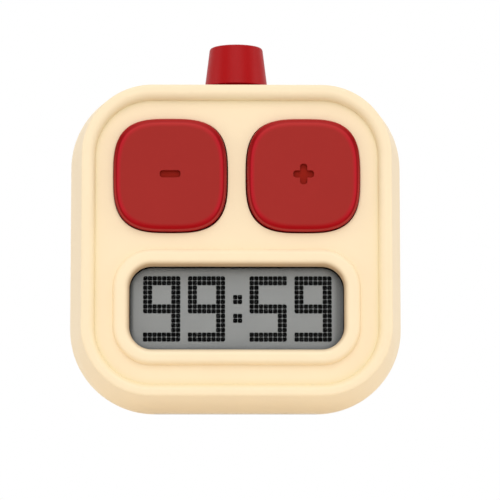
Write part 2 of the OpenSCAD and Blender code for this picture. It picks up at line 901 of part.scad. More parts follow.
front_shell();
rear_cover();
battery_door();
minus_key();
plus_key();
top_button();
display_lens();
lcd_panel();
lcd_frame();
zebra_strips();
main_board();
board_screws();
minus_switch();
plus_switch();
start_switch();
minus_plunger();
plus_plunger();
start_plunger();
controller_blob();
clock_crystal();
chip_parts();
coin_cell();
cell_clip();
cell_spring();
buzzer();
magnets();
case_screws();
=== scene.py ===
"""Square countdown timer with two keys, a digital display and a top button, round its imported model."""

import math

import bmesh
import bpy
import numpy as np
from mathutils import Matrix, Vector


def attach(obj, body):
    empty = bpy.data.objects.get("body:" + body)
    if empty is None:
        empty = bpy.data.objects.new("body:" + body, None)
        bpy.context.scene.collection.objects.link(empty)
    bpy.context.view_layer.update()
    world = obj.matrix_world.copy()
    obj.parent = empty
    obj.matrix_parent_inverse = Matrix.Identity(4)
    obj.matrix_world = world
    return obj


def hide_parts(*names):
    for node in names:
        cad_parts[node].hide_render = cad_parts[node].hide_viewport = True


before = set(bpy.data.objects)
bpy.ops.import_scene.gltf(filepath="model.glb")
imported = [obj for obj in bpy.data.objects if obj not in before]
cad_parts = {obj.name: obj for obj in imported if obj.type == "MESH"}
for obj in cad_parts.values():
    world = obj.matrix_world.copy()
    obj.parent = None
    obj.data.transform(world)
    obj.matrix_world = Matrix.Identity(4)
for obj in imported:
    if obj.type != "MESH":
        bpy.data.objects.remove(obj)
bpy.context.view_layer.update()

# Sizes in millimetres, with depths from the front rim to the back. Most are those of the part's source.
# The keys, their openings, the signs and the underside's front edge were read again, and differ from it
# by 0.2 mm at most.
MM = 0.001
BODY_W = 55.0
BODY_H = 55.0
BODY_D = 21.5
FRONT_INSET = 2.8
CORNER_R = 14.0
CHIN_RISE = 2.6
CHIN_D = 7.0
CHIN_BLEND = 1.0
SPLIT = 18.0
WALL = 1.5
RIM_W = 2.2
RIM_ROUND = 0.5
RIM_CREST = 1.05
FACE_DROP = 0.2
RECESS = 1.5
FACE_BACK = 3.3
SEAM = 0.12
BACK_ROUND = 1.8
BACK_INSIDE = 19.9
LOCATOR_FRONT = 16.8
LOCATOR_ROOT = 19.0
LOCATOR_OUT = 1.85
LOCATOR_IN = 2.85

KEY_HALF = 9.05
KEY_POWER = 3.15
KEY_X = 10.65
KEY_Z = 37.76
KEY_TOP = 0.15
KEY_ROUND = 0.9
KEY_GAP = 0.13
KEY_OPENING_EASE = 0.05
KEY_OPENING_SHIFT = (-0.07, -0.1)
KEY_LIP = 0.9
KEY_LIP_DEPTH = 3.4
KEY_BACK = 4.3
KEY_WALL = 1.4
KEY_CROWN = 1.9
KEY_STEM_R = 2.5
SIGN_HALF = 1.65
SIGN_HALF_W = 0.575
SIGN_CORNER = 0.475
SIGN_DEPTH = 0.6
SIGN_LIFT = 0.09
SIGN_EASE = 0.08

WINDOW_HALF_W = 17.1
WINDOW_HALF_H = 6.6
WINDOW_R = 3.6
WINDOW_Z = 16.55
BEZEL_W = 2.6
BEZEL_TOP = 0.4
BEZEL_ROUND = 0.85
BEZEL_LIFT = 0.15
BEZEL_FOOT = 0.1
BEZEL_LIP = 0.3
LENS_DEPTH = 2.0
LENS_T = 1.0
LENS_LIP = 1.4
LENS_GAP = 0.1
LENS_BEVEL = 0.08

BUTTON_FOOT_R = 5.2
BUTTON_TOP_R = 4.325
BUTTON_FOOT_Z = 53.03
BUTTON_LINE = (0.02, 0.4)
BUTTON_LINE_DEPTH = 0.45
BUTTON_LINE_EDGE = 0.1
BUTTON_TOP_Z = 60.0
BUTTON_ROUND = 0.5
BUTTON_WALL = 1.2
FLANGE_R = 6.4
FLANGE_TOP = 50.91
FLANGE_Z = 49.91
STEM_R = 2.0
STEM_Z = 47.71
BORE_R = 5.4
BORE_EASE = 0.15
COLLAR_R = 6.8
COLLAR_Z = 51.01
COLLAR_GAP = 0.35

CELL_Z = 17.5
DOOR_R = 12.8
DOOR_GAP = 0.2
DOOR_HEAD = 19.9
DOOR_RIM = 0.25
HOLE_EASE = 0.12
NECK_R = 11.1
LUGS = 3
LUG_HALF_ANGLE = math.radians(15)
LUG_R = 12.3
LUG_TOP = 18.8
LUG_DEPTH = 17.9
SEAT_R = 10.3
LIP_R = 11.3
LIP_DEPTH = 18.9
GROOVE_R = 12.5
GROOVE_DEPTH = 17.7
WELL_R = 14.1
WELL_FLOOR = 15.5
WELL_UNDERSIDE = 14.3
SLOT_HALF = 8.0
SLOT_HALF_W = 1.0
SLOT_CORNER = 0.9
SLOT_DEPTH = 0.9
SCREW_X = 19.4
SCREW_Z = (8.1, 46.9)
SCREW_RECESS_R = 2.1
SCREW_HOLE_R = 1.2
SCREW_SEAT = 19.5
PAD_R = 3.2
SOUND_R = 0.7
SOUND_RING_R = 4.0
SOUND_Z = 41.875

# Points along each straight and each corner of an outline, along a fence and round a turned piece
STRAIGHT = 54
ARC = 24
FENCE = 27
TURNED = 360
QUARTER = STRAIGHT + ARC
RING = 4 * QUARTER
# Places on an outline: the middles of its top, left and right sides
TOP = STRAIGHT // 2
LEFT = TOP + QUARTER
RIGHT = LEFT + 2 * QUARTER
# Flat strip beside a rounded edge, which keeps the flat's shading flat
BAND = 0.1
# Steps of a rounded and of an eased edge
ROUND_STEPS = 8
EASE_STEPS = 4
SHARP_ANGLE = math.radians(32)
MERGE = 2e-7
TINY = 1e-9


def around():
    """Angles of a turned piece's columns."""
    return np.arange(TURNED) * 2 * math.pi / TURNED


def quarter_turn(steps=ROUND_STEPS):
    """Quarter circle in even steps: 1 less the sine, which falls to 0, and 1 less the cosine."""
    angle = np.linspace(0, math.pi / 2, steps + 1)
    return 1 - np.sin(angle), 1 - np.cos(angle)


def tabled(*values):
    """Rows of a table from its columns. A single value goes all the way down."""
    return np.stack(np.broadcast_arrays(*values), 1)


def y_at(depth):
    """Y of a depth: the depth less half the body's depth."""
    return depth - BODY_D / 2


def shrink(depth):
    """How far the body is drawn in at a depth: a straight fall from the front to the parting line."""
    return FRONT_INSET * (1 - np.minimum(depth, SPLIT) / SPLIT)


def chin(depth):
    """Height of the underside at a depth: a straight slope, then a parabola that ends flat."""
    slope = CHIN_RISE / CHIN_D
    bend = slope * np.clip(CHIN_D + CHIN_BLEND - depth, 0, None) ** 2 / (4 * CHIN_BLEND)
    return np.where(depth <= CHIN_D - CHIN_BLEND, CHIN_RISE - slope * depth, bend)


def ring_frame():
    """Core points and outward directions round a rounded rectangle whose core is two by two: along a side
    the core point runs and the direction stands still, and round a corner the direction turns instead."""
    corners = np.array([(1, 1), (-1, 1), (-1, -1), (1, -1), (1, 1)], float)
    part = np.arange(STRAIGHT)[:, None] / STRAIGHT
    turn = np.arange(ARC) / ARC
    cores = []
    turns = []
    for quarter in range(4):
        start = corners[quarter]
        end = corners[quarter + 1]
        cores += [start + (end - start) * part, np.repeat(end[None], ARC, 0)]
        turns += [np.full(STRAIGHT, 1.0 + quarter), 1 + quarter + turn]
    angle = np.concatenate(turns) * math.pi / 2
    return np.concatenate(cores), tabled(np.cos(angle), np.sin(angle))


CORE, OUTWARD = ring_frame()


def body_rows(shape_depth, depth, inset):
    """Outlines of the body as rows of a grid: the core rectangle, grown by the corner radius that the
    taper and the inset leave. The outline's form is taken at shape_depth and put at depth."""
    shape = shape_depth[:, None]
    radius = CORNER_R - shrink(shape) - inset[:, None]
    top = BODY_H - CORNER_R
    low = CORNER_R + chin(shape) - shrink(shape)
    x = (BODY_W / 2 - CORNER_R) * CORE[:, 0] + radius * OUTWARD[:, 0]
    z = (top + low) / 2 + (top - low) / 2 * CORE[:, 1] + radius * OUTWARD[:, 1]
    y = np.broadcast_to(y_at(depth)[:, None], x.shape)
    return np.stack([x, y, z], -1)


def squircle(angle, half):
    """Distance from the centre to a superellipse: its half size over the power mean of the direction."""
    mean = np.abs(np.cos(angle)) ** KEY_POWER + np.abs(np.sin(angle)) ** KEY_POWER
    return half / mean ** (1 / KEY_POWER)


def rounded_box(angle, half_w, half_h, corner):
    """Distance from the centre to a rectangle with round corners: to the side that the ray meets first,
    or to the corner's circle where the ray meets both sides past the core."""
    across = np.abs(np.cos(angle))
    up = np.abs(np.sin(angle))
    side = np.minimum(half_w / np.maximum(across, TINY), half_h / np.maximum(up, TINY))
    core_w = half_w - corner
    core_h = half_h - corner
    along = across * core_w + up * core_h
    reach = along + np.sqrt(np.maximum(along ** 2 - core_w ** 2 - core_h ** 2 + corner ** 2, 0))
    return np.where((side * across > core_w) & (side * up > core_h), reach, side)


def bearing(border, centre):
    """Angle of each border point seen from a centre, in the plane of the face."""
    return np.arctan2(border[:, 2] - centre[1], border[:, 0] - centre[0])


def loops(centre, angle, rows):
    """Closed lines for rows of radius and depth: a centre plus the radius along each angle."""
    radius = np.stack([np.broadcast_to(radius, angle.shape) for radius, _ in rows])
    depth = np.array([depth for _, depth in rows])[:, None]
    x = centre[0] + radius * np.cos(angle)
    z = centre[1] + radius * np.sin(angle)
    return np.stack([x, np.broadcast_to(y_at(depth), x.shape), z], -1)


def eased_edge(size, depth, into, radius=0):
    """Rows of radius and depth for a rounded edge between a flat face and a hole: a flat band, then a
    quarter circle. into is 1 towards the back and -1 towards the front."""
    falling, rising = quarter_turn(EASE_STEPS)
    turn = tabled(size * falling, depth + into * size * rising).tolist()
    return [(radius + extra, level) for extra, level in [(size + BAND, depth)] + turn]


def fence(*corners):
    """Points along straight lines through the corners, as many to each, without the last corner."""
    part = np.arange(FENCE)[:, None] / FENCE
    return np.concatenate([a + (b - a) * part for a, b in zip(corners[:-1], corners[1:])])


def border(ring, first, last, *corners):
    """Closed border of a field: a ring's points from a first place to a last one, and straight lines from
    there through the corners back to the first."""
    places = np.arange(first, last if last > first else last + RING) % RING
    return np.concatenate([ring[places], fence(ring[last], *corners, ring[first])])


def woven(grid, left_out=()):
    """Points and faces of a closed grid: each square of neighbours is a face, the last column joins the
    first, and the squares in left_out, given as rows and columns, stay open."""
    rows, columns = grid.shape[:2]
    index = np.arange(rows * columns).reshape(rows, columns)
    index = np.concatenate([index, index[:, :1]], 1)
    faces = np.stack([index[:-1, :-1], index[:-1, 1:], index[1:, 1:], index[1:, :-1]], -1)
    kept = np.ones(faces.shape[:2], bool)
    for row_range, column_range in left_out:
        kept[row_range, column_range] = False
    return grid.reshape(-1, 3), faces[kept]


def turned(rows):
    """Surface turned about the upright axis: each row of radius and height is carried round in a circle."""
    radius, height = np.array(rows, float).T[:, :, None]
    angle = around()
    return np.stack([radius * np.cos(angle), radius * np.sin(angle), height * np.ones_like(angle)], -1)


def placed(name, data):
    """New object in the scene."""
    made = bpy.data.objects.new(name, data)
    bpy.context.scene.collection.objects.link(made)
    return made


def piece(name, sheets, finish, body, slot, *nodes):
    """Joins sheets of points and faces into one object: doubles are merged, faces turned outwards, and
    edges sharper than SHARP_ANGLE kept. It rides on a body and stands for its nodes."""
    starts = np.cumsum([0] + [len(points) for points, _ in sheets])
    points = np.concatenate([points for points, _ in sheets]) * MM
    faces = np.concatenate([faces + start for (_, faces), start in zip(sheets, starts)])
    mesh = bpy.data.meshes.new(name)
    mesh.from_pydata(points.tolist(), [], faces.tolist())
    work = bmesh.new()
    work.from_mesh(mesh)
    bmesh.ops.remove_doubles(work, verts=work.verts, dist=MERGE)
    bmesh.ops.dissolve_degenerate(work, edges=work.edges, dist=MERGE / 10)
    bmesh.ops.recalc_face_normals(work, faces=work.faces)
    work.to_mesh(mesh)
    work.free()
    mesh.shade_smooth()
    mesh.set_sharp_from_angle(angle=SHARP_ANGLE)
    mesh.materials.append(finish)
    made = placed(name, mesh)
    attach(made, body)
    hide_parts(*nodes)


# Front shell

# Depths of the wall's rows outside and inside, as many of each, and the rows in the bore's field
WALL_TAIL = np.concatenate([np.linspace(CHIN_D - CHIN_BLEND, CHIN_D + CHIN_BLEND, 9), np.arange(9, 18)])
WALL_OUTSIDE = np.concatenate([[RIM_ROUND, 1.2, 2.0, 3.0, 4.0, 5.0], WALL_TAIL])
WALL_INSIDE = np.concatenate([[FACE_BACK, 3.6, 4.0, 4.5, 5.0, 5.5], WALL_TAIL])
FIELD_ROWS = len(WALL_OUTSIDE) - 1


def shell_rows():
    """Section of the front shell as rows of form depth, depth, inset and drop: up the inside of the wall,
    over the parting edge, forward along the outside, over the rim and down its quarter ellipse to the
    face. The edge of the face lies lower than the body's outline by the drop."""
    inside = tabled(WALL_INSIDE, WALL_INSIDE, WALL)
    falling, rising = quarter_turn(EASE_STEPS)
    parting = tabled(SPLIT - SEAM * rising, SPLIT - SEAM * rising, SEAM * falling)
    back_edge = [(SPLIT, SPLIT, WALL)]
    outside = tabled(WALL_OUTSIDE, WALL_OUTSIDE, 0)[::-1]
    falling, rising = quarter_turn()
    edge = tabled(RIM_ROUND, RIM_ROUND * falling, RIM_ROUND * rising)[1:]
    falling, rising = quarter_turn(2 * ROUND_STEPS)
    slope = tabled(RIM_ROUND, RECESS * rising, RIM_W - (RIM_W - RIM_CREST) * falling)
    flat = [(RIM_ROUND, RECESS, RIM_W + BAND)]
    rows = np.concatenate([inside, back_edge, parting, outside, edge, slope, flat])
    drop = FACE_DROP * np.append(1 - falling, 1)
    return np.column_stack([rows, np.pad(drop, (len(rows) - len(drop), 0))])


def face_fields(ring):
    """Borders of the face's fields, round the left key, the right key and the display: parts of the face's
    edge, closed by lines to the hub between the sides' middles."""
    hub = np.array([0, ring[LEFT, 1], ring[LEFT, 2]])
    return [border(ring, first, last, hub) for first, last in ((TOP, LEFT), (RIGHT, TOP), (LEFT, RIGHT))]


def key_opening(outer, inner, side):
    """Field with a key's opening: from the border on the face to the superellipse, over an eased edge,
    through the wall and to the border inside. The key sits a little high and outwards in it."""
    shift_x, shift_z = KEY_OPENING_SHIFT
    centre = (side * (KEY_X + shift_x), KEY_Z + shift_z)
    angle = bearing(outer, centre)
    half = KEY_HALF + KEY_GAP
    steps = eased_edge(KEY_OPENING_EASE, RECESS, 1, half) + [(half, FACE_BACK)]
    rows = [(squircle(angle, size), depth) for size, depth in steps]
    return np.concatenate([outer[None], loops(centre, angle, rows), inner[None]])


def window_section():
    """Section of the raised ring as rows of distance from the window and depth: a small concave foot, a
    quarter ellipse up to the flat crest, another down to the window, and the step of the lens pocket."""
    falling, rising = quarter_turn()
    start = [(BEZEL_W + BEZEL_FOOT + BAND, RECESS)]
    foot = tabled(BEZEL_W + BEZEL_FOOT * falling, RECESS - BEZEL_FOOT * rising)
    rise = tabled(BEZEL_W - BEZEL_ROUND * falling, BEZEL_TOP + (RECESS - BEZEL_FOOT - BEZEL_TOP) * rising)
    fall = tabled(BEZEL_ROUND * falling, BEZEL_TOP + (LENS_DEPTH - BEZEL_LIP - BEZEL_TOP) * rising)
    pocket = [(0, LENS_DEPTH), (LENS_LIP, LENS_DEPTH), (LENS_LIP, FACE_BACK)]
    return np.concatenate([start, foot, rise[-2::-1], fall, pocket])


def window_rows(angle, section):
    """Carries a section of distance and depth round the window: each point goes out from the window's core
    rectangle along the outline's own outward direction."""
    start = section[0, 0]
    reach = rounded_box(angle, WINDOW_HALF_W + start, WINDOW_HALF_H + start, WINDOW_R + start)
    point = tabled(reach * np.cos(angle), reach * np.sin(angle))
    limit = np.array([WINDOW_HALF_W - WINDOW_R, WINDOW_HALF_H - WINDOW_R])
    core = np.clip(point, -limit, limit)
    outward = (point - core) / np.linalg.norm(point - core, axis=1)[:, None]
    place = core + (WINDOW_R + section[:, 0, None, None]) * outward
    depth = np.broadcast_to(y_at(section[:, 1, None]), place.shape[:2])
    return np.stack([place[..., 0], depth, WINDOW_Z + place[..., 1]], -1)


def window_field(outer, inner):
    """Field with the display's window: from the border on the face over the raised ring and the lens
    pocket to the border on the inside. The ring's outer rows lie a little higher than the window."""
    rows = window_rows(bearing(outer, (0, WINDOW_Z)), window_section())
    rows[:2 * ROUND_STEPS + 2, :, 2] += BEZEL_LIFT
    return np.concatenate([outer[None], rows, inner[None]])


def block_border(block):
    """Edge of a block of a grid as a closed line: along its first row, down, back and up."""
    return np.concatenate([block[0, :-1], block[:-1, -1], block[-1, :0:-1], block[:0:-1, 0]])


def bore_field(outer, inner):
    """Field with the top button's bore: from the border outside over an eased edge, down the bore, round
    the collar's foot, up its outside and to the border inside. Its rims follow the slope."""
    angle = np.arctan2(outer[:, 1], outer[:, 0])

    def ring(radius, height=None, drop=0.0):
        x = radius * np.cos(angle)
        y = radius * np.sin(angle)
        slope = BODY_H - shrink(y + BODY_D / 2) - drop
        return np.stack([x, y, slope if height is None else np.full_like(x, height)], -1)

    rim = [ring(radius, drop=fall) for radius, fall in eased_edge(BORE_EASE, 0, 1, BORE_R)]
    collar = [ring(BORE_R, COLLAR_Z), ring(COLLAR_R, COLLAR_Z), ring(COLLAR_R, drop=WALL)]
    return np.stack([outer] + rim + collar + [inner])


def front_shell(finish):
    """The shell's section carried round the body, with fields for the keys, the display and the bore."""
    form_depth, depth, inset, drop = shell_rows().T
    grid = body_rows(form_depth, depth, inset)
    grid[..., 2] -= drop[:, None]
    inside = slice(1, FIELD_ROWS + 1)
    first_outside = len(WALL_INSIDE) + 1 + EASE_STEPS + 1
    outside = slice(first_outside, first_outside + FIELD_ROWS)
    along_top = slice(0, STRAIGHT + 1)
    outer_border = block_border(grid[outside, along_top][::-1])
    inner_border = block_border(grid[inside, along_top])
    open_squares = [(slice(rows.start, rows.stop - 1), slice(0, STRAIGHT)) for rows in (inside, outside)]
    sheets = [woven(grid, open_squares), woven(bore_field(outer_border, inner_border))]
    left, right, low = zip(face_fields(grid[-1]), face_fields(grid[0]))
    fields = [key_opening(*left, -1), key_opening(*right, 1), window_field(*low)]
    sheets += [woven(field) for field in fields]
    piece("shell_front", sheets, finish, "case", "cream_shell", "front_shell")


# Rear cover

# Columns of the outline where the upright cuts of the back meet it
CUT = 2
CUT_TOP = STRAIGHT + CUT
CUT_LOW = 2 * QUARTER - CUT
CUT_LOW_RIGHT = 2 * QUARTER + STRAIGHT + CUT
# Heights of the level cuts of the back, and the half width of the middle sound hole's field
CUT_MIDDLE = 32.0
CUT_SOUND = (39.9, 43.8)
CUT_HOLE = 2.0


def cover_rows():
    """Section of the rear cover as rows of depth and inset: round the locating lip, over the parting edge
    and round the back's edge to its flat."""
    lip = [
        (BACK_INSIDE, WALL), (LOCATOR_ROOT, WALL), (LOCATOR_ROOT, LOCATOR_IN), (LOCATOR_FRONT, LOCATOR_IN),
        (LOCATOR_FRONT, LOCATOR_OUT), (SPLIT, LOCATOR_OUT),
    ]
    falling, rising = quarter_turn(EASE_STEPS)
    parting = tabled(SPLIT + SEAM * rising, SEAM * falling)
    falling, rising = quarter_turn()
    edge = tabled(BODY_D - BACK_ROUND * falling, BACK_ROUND * rising)
    return np.concatenate([lip, parting, [(LOCATOR_ROOT, 0)], edge, [(BODY_D, BACK_ROUND + BAND)]])


def cover_fields(ring):
    """Borders of the back's fields, one to each hole: four screws', seven sound holes' and the door's.
    Each comes with its hole's kind and centre, and the right ones mirror the left ones."""
    mirror = np.array([-1, 1, 1])
    x, y, _ = ring[CUT_TOP]
    side = np.array([x, y, ring[LEFT, 2]])
    left = [np.array([x, y, z]) for z in (CUT_MIDDLE, *CUT_SOUND)]
    middle = np.array([0, y, CUT_MIDDLE])
    lower, upper = [[np.array([place, y, z]) for place in (-CUT_HOLE, 0, CUT_HOLE)] for z in CUT_SOUND]
    reach = SOUND_RING_R / 2
    rise = SOUND_RING_R * math.sin(math.pi / 3)
    fields = [
        ("screw", (-SCREW_X, SCREW_Z[0]), border(ring, LEFT, CUT_LOW, side)),
        ("screw", (-SCREW_X, SCREW_Z[1]), border(ring, CUT_TOP, LEFT, side, *left)),
        ("sound", (-reach, SOUND_Z + rise), border(ring, TOP, CUT_TOP, left[2], upper[0], upper[1])),
        ("sound", (-SOUND_RING_R, SOUND_Z), fence(left[2], left[1], lower[0], upper[0], left[2])),
        ("sound", (-reach, SOUND_Z - rise), fence(left[1], left[0], middle, lower[1], lower[0], left[1])),
    ]
    fields += [(kind, (-across, z), points * mirror) for kind, (across, z), points in fields]
    door = border(
        ring, CUT_LOW, CUT_LOW_RIGHT, side * mirror, left[0] * mirror, middle, left[0], side)
    hole = fence(upper[0], *lower, upper[2], upper[1], upper[0])
    return fields + [("door", (0, CELL_Z), door), ("sound", (0, SOUND_Z), hole)]


# Holes of the back as rows of radius and depth, from the eased edge inwards
HOLES = {
    "screw": [
        (SCREW_RECESS_R, SCREW_SEAT), (SCREW_HOLE_R, SCREW_SEAT), (SCREW_HOLE_R, SPLIT), (PAD_R, SPLIT),
        (PAD_R, BACK_INSIDE),
    ],
    "sound": [(SOUND_R, BACK_INSIDE)],
    "door": [
        (DOOR_R + DOOR_GAP, DOOR_HEAD), (LIP_R, DOOR_HEAD), (LIP_R, LIP_DEPTH), (GROOVE_R, LIP_DEPTH),
        (GROOVE_R, GROOVE_DEPTH), (SEAT_R, GROOVE_DEPTH), (SEAT_R, WELL_FLOOR), (0, WELL_FLOOR),
    ],
}


def notched(grid):
    """Sets the lip's front edge back round the collar: at the top, an edge point inside a circle about
    the button's axis moves back to that circle."""
    circle = np.sqrt(np.maximum((COLLAR_R + COLLAR_GAP) ** 2 - grid[..., 0] ** 2, 0))
    near = (grid[..., 2] > COLLAR_Z) & (grid[..., 1] < y_at(SPLIT))
    grid[..., 1] = np.where(near, np.maximum(grid[..., 1], circle), grid[..., 1])
    return grid


def rear_cover(finish):
    """The cover's section carried round the body, with a field for each hole of its back."""
    depth, inset = cover_rows().T
    grid = notched(body_rows(np.full_like(depth, SPLIT), depth, inset))
    sheets = [woven(grid)]
    for (kind, centre, outer), (*_, inner) in zip(cover_fields(grid[-1]), cover_fields(grid[0])):
        angle = bearing(outer, centre)
        steps = HOLES[kind]
        edge = eased_edge(HOLE_EASE, BODY_D, -1, steps[0][0])
        rows = [outer[None], loops(centre, angle, edge + steps)]
        if kind == "door":
            under = [(WELL_R, BACK_INSIDE), (WELL_R, WELL_UNDERSIDE), (0, WELL_UNDERSIDE)]
            well = loops(centre, bearing(inner, centre), under)
            sheets.append(woven(np.concatenate([inner[None], well])))
        else:
            rows.append(inner[None])
        sheets.append(woven(np.concatenate(rows)))
    piece("cover_rear", sheets, finish, "case", "cream_shell", "rear_cover")


# Keys, top button, door and lens

def push_key(name, side, upright, finish, body, node):
    """Key from the sign's floor outwards: the sign, the face, a rounded edge, the side, the lip and the
    hollow with its stem. A row is a superellipse or a circle about the centre, or the sign above it."""
    angle = around()
    sign = rounded_box(angle, SIGN_HALF, SIGN_HALF_W, SIGN_CORNER)
    if upright:
        sign = np.maximum(sign, rounded_box(angle, SIGN_HALF_W, SIGN_HALF, SIGN_CORNER))
    sign_floor = KEY_TOP + SIGN_DEPTH
    hollow = KEY_TOP + KEY_CROWN
    sign_rows = [(0, sign_floor), (sign, sign_floor)]
    sign_rows += eased_edge(SIGN_EASE, KEY_TOP, 1, sign)[::-1]
    rows = [(squircle(angle, KEY_HALF - KEY_ROUND - BAND), KEY_TOP)]
    for falling, rising in zip(*quarter_turn()):
        rows.append((squircle(angle, KEY_HALF - KEY_ROUND * falling), KEY_TOP + KEY_ROUND * rising))
    lip = [(0, KEY_LIP_DEPTH), (KEY_LIP, KEY_LIP_DEPTH), (KEY_LIP, KEY_BACK)]
    for grow, depth in lip + [(-KEY_WALL, KEY_BACK), (-KEY_WALL, hollow)]:
        rows.append((squircle(angle, KEY_HALF + grow), depth))
    rows += [(KEY_STEM_R, hollow), (KEY_STEM_R, FACE_BACK), (0, FACE_BACK)]
    centre = (side * KEY_X, KEY_Z)
    above = (side * KEY_X, KEY_Z + SIGN_LIFT)
    grid = np.concatenate([loops(above, angle, sign_rows), loops(centre, angle, rows)])
    piece(name, [woven(grid)], finish, body, "red_key", node)


def top_button(finish):
    """Button turned about its upright axis: a flat top, a rounded edge that runs into the cone, a fine
    line cut round its foot, the skirt, the flange and the stem in the hollow."""
    lean = math.atan((BUTTON_FOOT_R - BUTTON_TOP_R) / (BUTTON_TOP_Z - BUTTON_FOOT_Z))
    reach = BUTTON_FOOT_R * math.cos(lean) + BUTTON_FOOT_Z * math.sin(lean)
    round_z = BUTTON_TOP_Z - BUTTON_ROUND
    round_r = (reach - BUTTON_ROUND - round_z * math.sin(lean)) / math.cos(lean)
    turn = np.linspace(math.pi / 2, lean, ROUND_STEPS + 1)
    edge = tabled(round_r + BUTTON_ROUND * np.cos(turn), round_z + BUTTON_ROUND * np.sin(turn))
    hollow_r = BUTTON_FOOT_R - BUTTON_WALL
    rows = [(0, BUTTON_TOP_Z), (round_r - BAND, BUTTON_TOP_Z)] + edge.tolist()
    low, high = BUTTON_LINE
    line = [(high + BUTTON_LINE_EDGE, 0), (high, BUTTON_LINE_EDGE)]
    for rise, cut in line + [(high, BUTTON_LINE_DEPTH), (low, BUTTON_LINE_DEPTH), (low, 0)]:
        rows.append((BUTTON_FOOT_R - rise * math.tan(lean) - cut, BUTTON_FOOT_Z + rise))
    rows += [(BUTTON_FOOT_R, BUTTON_FOOT_Z), (BUTTON_FOOT_R, FLANGE_TOP), (FLANGE_R, FLANGE_TOP)]
    rows += [(FLANGE_R, FLANGE_Z), (hollow_r, FLANGE_Z), (hollow_r, BUTTON_FOOT_Z), (STEM_R, BUTTON_FOOT_Z)]
    rows += [(STEM_R, STEM_Z), (0, STEM_Z)]
    piece("button_top", [woven(turned(rows))], finish, "start", "red_key", "top_button")


def battery_door(finish):
    """Round door from the coin slot's floor outwards: the slot, the head's face and eased edge, the neck
    and three lugs, which are a wider neck over part of the turn."""
    angle = around()
    slot = rounded_box(angle, SLOT_HALF, SLOT_HALF_W, SLOT_CORNER)
    share = 2 * math.pi / LUGS
    from_lug = np.abs((angle + share / 2) % share - share / 2)
    lug = np.where(from_lug < LUG_HALF_ANGLE, LUG_R, NECK_R)
    rows = [(0, BODY_D - SLOT_DEPTH), (slot, BODY_D - SLOT_DEPTH)]
    rows += eased_edge(HOLE_EASE, BODY_D, -1, slot)[::-1]
    rows.append((DOOR_R - DOOR_RIM - BAND, BODY_D))
    for falling, rising in zip(*quarter_turn()):
        rows.append((DOOR_R - DOOR_RIM * falling, BODY_D - DOOR_RIM * rising))
    rows += [(DOOR_R, DOOR_HEAD), (NECK_R, DOOR_HEAD), (NECK_R, LUG_TOP), (lug, LUG_TOP), (lug, LUG_DEPTH)]
    rows += [(SEAT_R, LUG_DEPTH), (SEAT_R, DOOR_HEAD), (0, DOOR_HEAD)]
    grid = loops((0, CELL_Z), angle, rows)
    piece("door_battery", [woven(grid)], finish, "door", "cream_shell", "battery_door")


def display_lens(finish):
    """Clear plate behind the window: its outline at the front and the back with a small bevel, closed to
    the middle on both faces."""
    out = LENS_LIP - LENS_GAP
    flat = out - LENS_BEVEL
    front = LENS_DEPTH
    back = LENS_DEPTH + LENS_T
    section = [(flat, front), (out, front + LENS_BEVEL), (out, back - LENS_BEVEL), (flat, back)]
    rows = window_rows(around(), np.array(section))
    middle = loops((0, WINDOW_Z), around(), [(0, front), (0, back)])
    grid = np.concatenate([middle[:1], rows, middle[1:]])
    piece("lens_display", [woven(grid)], finish, "case", "clear_lens", "display_lens")


# Digits

DOT_PITCH = 0.751
DOT_HALF = 0.351
DOT_CORNER = 0.1
DOT_TURN = 0.34
DOT_FRONT = FACE_BACK - 0.03
DOT_COLUMNS = 16
DIGIT_ROWS = 14
DIGIT_COLUMNS = 8
DIGIT_LEFT = (-14.98, -7.82, 2.03, 9.22)
COLON_LEFT = -0.6
# Middles of the colon's dots, in pitches from its left and from the middle
COLON_COLUMNS = (0.5, 1.5)
COLON_ROWS = (2.5, 1.5, -1.5, -2.5)
DIGITS_DROP = 0.05
# Dark border round the panel's field, painted shade at the window's edge: its reach inside and outside the
# window, and how far it lies low, so that most of it shows at the top
BORDER_INSIDE = 0.04
BORDER_OUTSIDE = 0.9
BORDER_DROP = 0.1
# Width of a stroke in dots, and the strokes of a digit as rows and columns of its field
STROKE = 2
STROKES = {
    "top": np.s_[0:2, 0:8],
    "upper_left": np.s_[2:6, 0:2],
    "upper_right": np.s_[2:6, 6:8],
    "middle": np.s_[6:8, 0:8],
    "lower_right": np.s_[8:12, 6:8],
    "bottom": np.s_[12:14, 0:8],
}
NINE = ("top", "upper_left", "upper_right", "middle", "lower_right", "bottom")
FIVE = ("top", "upper_left", "middle", "lower_right", "bottom")
# Steps to the right and down towards the outer corner of each quarter
QUARTERS = ((1, -1), (-1, -1), (-1, 1), (1, 1))


def digit_dots(strokes, left):
    """Dots of a digit row by row, as the place of each centre and its kind: 0, or the quarter from 1 to 4
    in which a stroke turns. There both neighbours outside are dark and the strokes run on inwards."""
    lit = np.zeros((DIGIT_ROWS, DIGIT_COLUMNS), bool)
    for stroke in strokes:
        lit[STROKES[stroke]] = True
    row, column = np.nonzero(lit)
    padded = np.pad(lit, STROKE)
    across = column + STROKE
    down = row + STROKE
    kind = np.zeros(len(row))
    for quarter, (right, low) in enumerate(QUARTERS, 1):
        beside = padded[down, across + right] | padded[down + low, across]
        inwards = padded[down, across - STROKE * right] & padded[down - STROKE * low, across]
        kind[inwards & ~beside] = quarter
    height = (DIGIT_ROWS / 2 - 0.5 - row) * DOT_PITCH
    return tabled(left + (column + 0.5) * DOT_PITCH, height, kind)


def colon_dots():
    """Dots of the colon: two blocks of two by two, above and below the middle, all of the plain kind."""
    across, up = np.meshgrid(COLON_COLUMNS, COLON_ROWS)
    return tabled(COLON_LEFT + across.ravel() * DOT_PITCH, up.ravel() * DOT_PITCH, 0)


